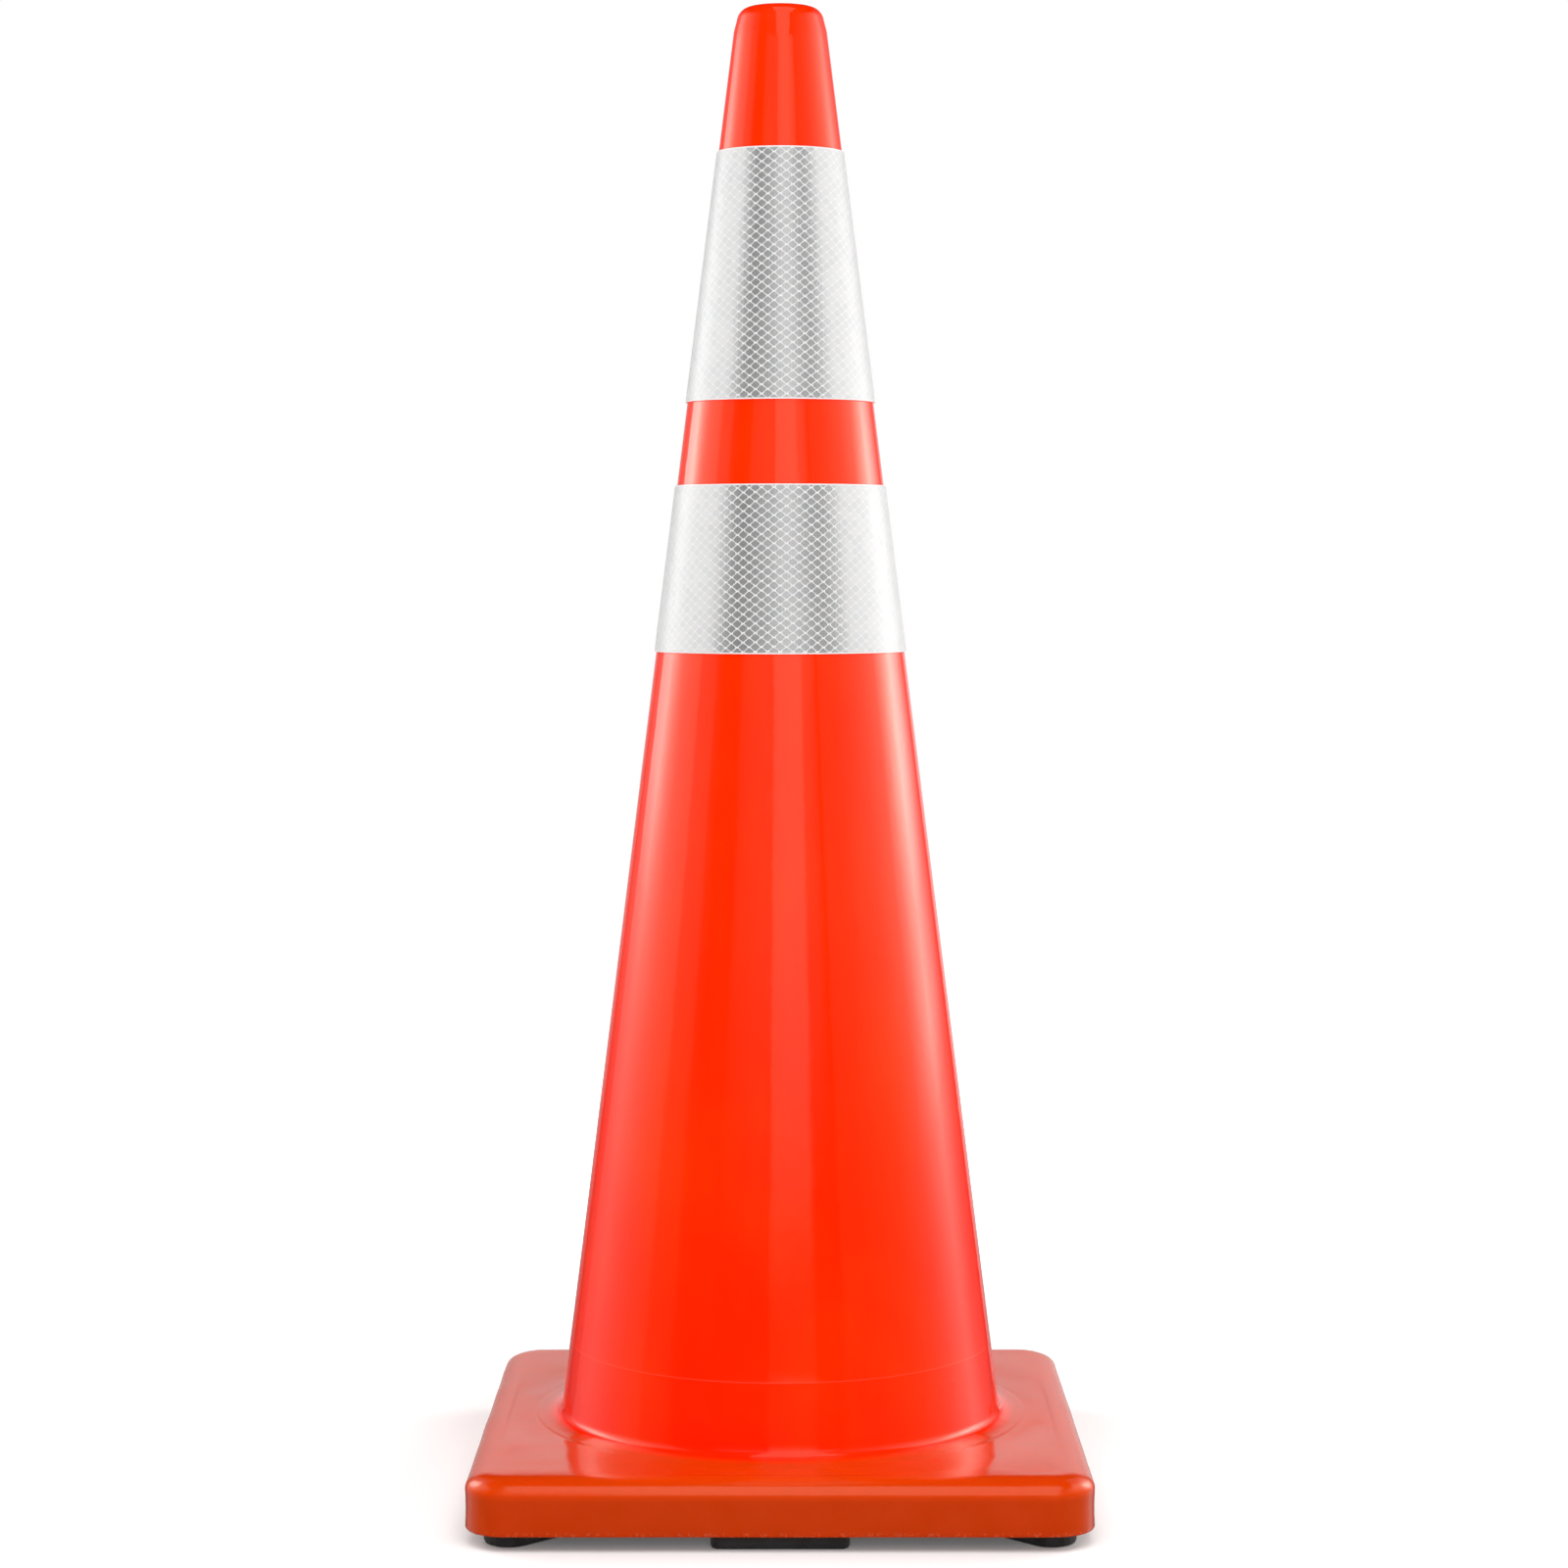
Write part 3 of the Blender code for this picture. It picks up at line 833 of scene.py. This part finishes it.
def make_sleeve(name, body, finish):
    """The white backing: a thin ring with softened edges."""
    lowest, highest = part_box(f"{name}_sleeve")
    low, high = lowest.z, highest.z
    angles = np.linspace(0, 2 * math.pi, SLEEVE_STEPS, endpoint=False)
    unit = np.column_stack((np.sin(angles), -np.cos(angles)))
    edge = 0.15 * MM

    def ring(offset, z):
        radius = cone_radius(z) + offset
        return np.column_stack((unit * radius, np.full(len(unit), z)))

    outer, inner = SLEEVE_IN + SLEEVE_WALL, SLEEVE_IN
    rows = np.linspace(high - edge, low + edge, 12)
    rings = [ring(outer - edge, high), *(ring(outer, z) for z in rows)]
    rings += [ring(outer - edge, low), ring(inner + edge, low)]
    rings += [*(ring(inner, z) for z in rows[::-1]), ring(inner + edge, high)]
    points, faces = loft(rings)
    made = mesh_object(f"{name}_backing", points, faces, finish, body)
    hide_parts(f"{name}_sleeve")


# ---------------------------------------------------------------- the studio

# The panels start well below the floor, so that the gloss low on the object still shows them
PANEL_FOOT = -0.80


def scaled_stops(profile):
    """A profile of (place, level) pairs as ramp stops from 0 to 1, with its span and peak."""
    places = [place for place, _ in profile]
    low, high = places[0], places[-1]
    peak = max(level for _, level in profile)
    stops = [((place - low) / (high - low), level / peak) for place, level in profile]
    return stops, (low, high), peak


def light_panel(name, points, faces, layers):
    """A panel that glows as the sum of its layers.

    A layer is a profile round the cone, in degrees, times a profile up the height.
    """
    mesh = bpy.data.meshes.new(name)
    mesh.from_pydata(points, [], faces)
    made = bpy.data.objects.new(name, mesh)
    bpy.context.scene.collection.objects.link(made)
    glow = bpy.data.materials.new(name)
    glow.use_nodes = True
    tree = glow.node_tree
    tree.nodes.remove(tree.nodes["Principled BSDF"])
    graph = Graph(tree)
    x, y, z = graph.split(graph.add("ShaderNodeTexCoord", output="Object"))
    azimuth = graph.math("ARCTAN2", x, graph.math("MULTIPLY", y, -1.0))
    aside = graph.math("ABSOLUTE", azimuth)
    total = 0.0
    for by_azimuth, by_height in layers:
        level = 1.0
        for value, profile, unit in ((azimuth, by_azimuth, math.radians(1)), (z, by_height, 1.0)):
            stops, (low, high), peak = scaled_stops(profile)
            place = graph.remap(value, low * unit, high * unit, smooth=False)
            shade = graph.math("MULTIPLY", graph.ramp(place, stops), peak)
            level = graph.math("MULTIPLY", shade, level)
        total = graph.math("ADD", level, total)
    # Low in front the light is warm, as if it came back from the orange cover.
    warm = graph.math("MULTIPLY", graph.remap(z, 0.60, 0.20), graph.remap(aside, 1.8, 1.1))
    tint = graph.mix(warm, colour(1.0, 1.0, 1.0), colour(1.0, 0.99, 0.45))
    light = graph.add("ShaderNodeEmission", {"Strength": total, "Color": tint})
    tree.links.new(light, tree.nodes["Material Output"].inputs["Surface"])
    mesh.materials.append(glow)
    made.visible_camera = False
    made.visible_shadow = False


def arc_panel(name, distance, span, rise, layers):
    """A softbox that curves round the cone through a span of azimuths, in degrees."""
    steps = 12
    points = []
    for azimuth in np.radians(np.linspace(*span, steps + 1)):
        for z in rise:
            points.append((distance * math.sin(azimuth), -distance * math.cos(azimuth), z))
    faces = [(2 * i, 2 * i + 1, 2 * i + 3, 2 * i + 2) for i in range(steps)]
    light_panel(name, points, faces, layers)


def area_light(name, place, lean, width, depth, power):
    """A rectangular light that lights the surfaces but has no mirror image in them."""
    data = bpy.data.lights.new(name, "AREA")
    data.shape = "RECTANGLE"
    data.size = width
    data.size_y = depth
    data.energy = power
    lamp = bpy.data.objects.new(name, data)
    lamp.location = place
    lamp.rotation_euler = (math.radians(lean), 0.0, 0.0)
    lamp.visible_glossy = False
    bpy.context.scene.collection.objects.link(lamp)


def make_side_lights():
    """On each side, a broad even glow and a bright core whose strength grows up the panel."""
    broad_height = (
        (PANEL_FOOT, 0.50), (0.0, 0.52), (0.12, 0.62), (0.25, 0.90), (0.38, 1.25), (0.50, 1.45),
        (0.90, 1.70), (1.25, 1.65), (1.60, 1.0), (2.0, 0.0),
    )
    left_broad = (
        (-150.0, 0.10), (-144.0, 0.20), (-128.0, 0.45), (-116.0, 0.80), (-106.0, 1.10),
        (-89.0, 0.95), (-76.0, 0.75), (-74.5, 0.44), (-58.5, 0.28), (-57.5, 0.10), (-50.0, 0.0),
    )
    left_core = (
        (-135.0, 0.0), (-132.5, 2.7), (-128.0, 2.9), (-117.0, 5.0), (-106.0, 1.6), (-98.0, 0.4),
        (-90.0, 0.0),
    )
    left_height = (
        (PANEL_FOOT, 0.04), (0.0, 0.05), (0.10, 0.07), (0.30, 0.12), (0.38, 0.20), (0.52, 0.60),
        (0.62, 0.66), (0.82, 1.0), (0.92, 0.90), (1.20, 0.45), (1.30, 0.30), (1.70, 0.0),
    )
    right_broad = (
        (33.0, 0.14), (40.0, 0.18), (47.0, 0.20), (60.0, 0.38), (74.0, 0.62), (89.0, 1.05),
        (106.0, 1.35), (116.0, 1.20), (128.0, 0.40), (144.0, 0.25), (152.0, 0.12),
    )
    right_core = (
        (92.0, 0.0), (99.0, 0.9), (106.0, 2.2), (116.0, 4.1), (128.0, 2.1), (136.0, 0.7),
        (146.0, 0.0),
    )
    right_height = (
        (PANEL_FOOT, 0.08), (0.0, 0.12), (0.10, 0.18), (0.15, 0.24), (0.20, 0.30), (0.28, 0.60),
        (0.38, 0.65), (0.52, 1.15), (0.62, 1.20), (0.84, 1.0), (0.90, 0.80), (1.20, 0.15),
        (1.60, 0.0),
    )
    left_layers = ((left_broad, broad_height), (left_core, left_height))
    right_layers = ((right_broad, broad_height), (right_core, right_height))
    arc_panel("left_softbox", 1.30, (-150.0, -50.0), (PANEL_FOOT, 2.0), left_layers)
    arc_panel("right_softbox", 1.30, (33.0, 152.0), (PANEL_FOOT, 2.0), right_layers)


def make_front_light():
    """In front, a narrow strip from below the floor up, with a wider, dimmer wing each side."""
    strip = ((-7.0, 0.0), (-5.0, 0.85), (5.0, 1.0), (17.0, 1.0), (20.0, 0.0))
    strip_height = (
        (PANEL_FOOT, 0.05), (0.05, 0.10), (0.29, 0.24), (0.45, 0.70), (0.80, 1.20), (1.50, 1.45),
        (2.20, 1.25),
    )
    left_wing = ((-36.0, 0.0), (-33.0, 0.25), (-23.0, 0.42), (-8.0, 0.45), (-5.0, 0.0))
    left_height = (
        (PANEL_FOOT, 0.0), (0.25, 0.0), (0.50, 0.25), (0.80, 0.70), (1.50, 1.0), (2.20, 0.95),
    )
    right_wing = ((17.0, 0.0), (20.0, 0.85), (25.0, 0.75), (29.5, 0.40), (33.0, 0.0))
    right_height = ((PANEL_FOOT, 0.0), (0.40, 0.0), (0.80, 0.50), (1.50, 1.0), (2.20, 1.25))
    layers = ((strip, strip_height), (left_wing, left_height), (right_wing, right_height))
    arc_panel("front_strip", 3.00, (-36.0, 33.0), (PANEL_FOOT, 2.20), layers)


def make_lights():
    """Softboxes on both sides, a strip in front, a panel overhead and two unseen lights."""
    make_side_lights()
    make_front_light()
    # Overhead, a glowing panel that slopes up from the front
    front, back = (-3.0, 2.2), (0.0, 3.4)
    above = [(-0.50, *front), (1.10, *front), (1.10, *back), (-0.50, *back)]
    glow = 1.15
    all_round = ((-180.0, 1.0), (180.0, 1.0))
    light_panel("overhead_strip", above, [(0, 1, 2, 3)], ((all_round, ((2.0, glow), (3.4, glow))),))
    area_light("overhead", (0.0, -1.2, 2.3), 28.0, 2.6, 1.8, 40.0)
    area_light("fill", (0.0, -1.5, 0.6), 90.0, 1.0, 0.6, 4.0)


def make_world():
    """White to the camera; to the object, a lit backdrop behind it and a dark room in front."""
    world = bpy.data.worlds.new("studio")
    world.use_nodes = True
    tree = world.node_tree
    graph = Graph(tree)
    x, y, z = graph.split(graph.add("ShaderNodeTexCoord", output="Generated"))
    behind = graph.math("MULTIPLY", graph.remap(y, 0.35, 0.85), graph.remap(z, 0.44, 0.24))
    behind = graph.math("MULTIPLY", behind, graph.remap(z, -0.25, -0.05, 0.30, 1.0))
    side = graph.remap(x, -0.35, -0.10, 0.32, 0.72)
    level = graph.math("MULTIPLY", behind, side)
    high_right = graph.math("MULTIPLY", graph.remap(x, 0.15, 0.40), graph.remap(z, 0.02, 0.12))
    level = graph.math("MULTIPLY", level, graph.remap(high_right, 0.0, 1.0, 1.0, 0.45))
    level = graph.math("ADD", level, 0.01)
    seen = graph.add("ShaderNodeLightPath", output="Is Camera Ray")
    level = graph.math("MAXIMUM", level, seen)
    background = tree.nodes["Background"]
    background.inputs["Color"].default_value = colour(1.0, 1.0, 1.0)
    tree.links.new(level, background.inputs["Strength"])
    bpy.context.scene.world = world


def make_floor():
    """A plain white floor that shows soft shadows and can be looked through from below."""
    bm = bmesh.new()
    bmesh.ops.create_circle(bm, cap_ends=True, segments=96, radius=7.0)
    mesh = bpy.data.meshes.new("floor")
    bm.to_mesh(mesh)
    bm.free()
    floor = bpy.data.objects.new("floor", mesh)
    bpy.context.scene.collection.objects.link(floor)
    made, graph, shader, place = surface("floor")
    shader.inputs["Base Color"].default_value = colour(0.92, 0.92, 0.92)
    shader.inputs["Roughness"].default_value = 0.9
    shader.inputs["Specular IOR Level"].default_value = 0.1
    # Painted light: the floor glows, faintly near the object, which lightens its shadows, and fully
    # far out, where it runs into the white backdrop.
    reach = graph.add("ShaderNodeVectorMath", {0: place}, output="Value", operation="LENGTH")
    drive(graph, shader, emission_strength=graph.remap(reach, 0.25, 1.2, 0.09, 1.0))
    shader.inputs["Emission Color"].default_value = colour(1.0, 1.0, 1.0)
    underside = graph.add("ShaderNodeNewGeometry", output="Backfacing")
    clear = graph.add("ShaderNodeBsdfTransparent")
    both = graph.add("ShaderNodeMixShader", {0: underside, 1: shader.outputs[0], 2: clear})
    graph.tree.links.new(both, graph.tree.nodes["Material Output"].inputs["Surface"])
    floor.visible_glossy = False
    mesh.materials.append(made)


def make_camera():
    """A long lens a little above the middle of the cone, tipped down slightly."""
    data = bpy.data.cameras.new("camera")
    data.lens = 83.83
    data.sensor_width = 36.0
    data.clip_end = 50.0
    camera = bpy.data.objects.new("camera", data)
    camera.location = (0.0022, -2.2351, 0.5651)
    camera.rotation_euler = (math.radians(90.0 - 3.483), 0.0, 0.0)
    bpy.context.scene.collection.objects.link(camera)
    bpy.context.scene.camera = camera
    bpy.context.scene.view_settings.view_transform = "Standard"


# ---------------------------------------------------------------- build

make_camera()
make_world()
make_floor()
make_lights()

make_moulding(orange_pvc())
prisms, backing = prismatic_sheeting(), white_pvc()
for collar in COLLARS:
    make_sleeve(collar, collar, backing)
    make_sheeting(collar, collar, prisms)

rubber, crumb = black_rubber(), recycled_rubber()
for node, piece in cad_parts.items():
    if "foot" in node:
        piece.data.materials.clear()
        piece.data.materials.append(rubber)
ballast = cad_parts["base_weight"]
ballast.data.materials.clear()
ballast.data.materials.append(crumb)
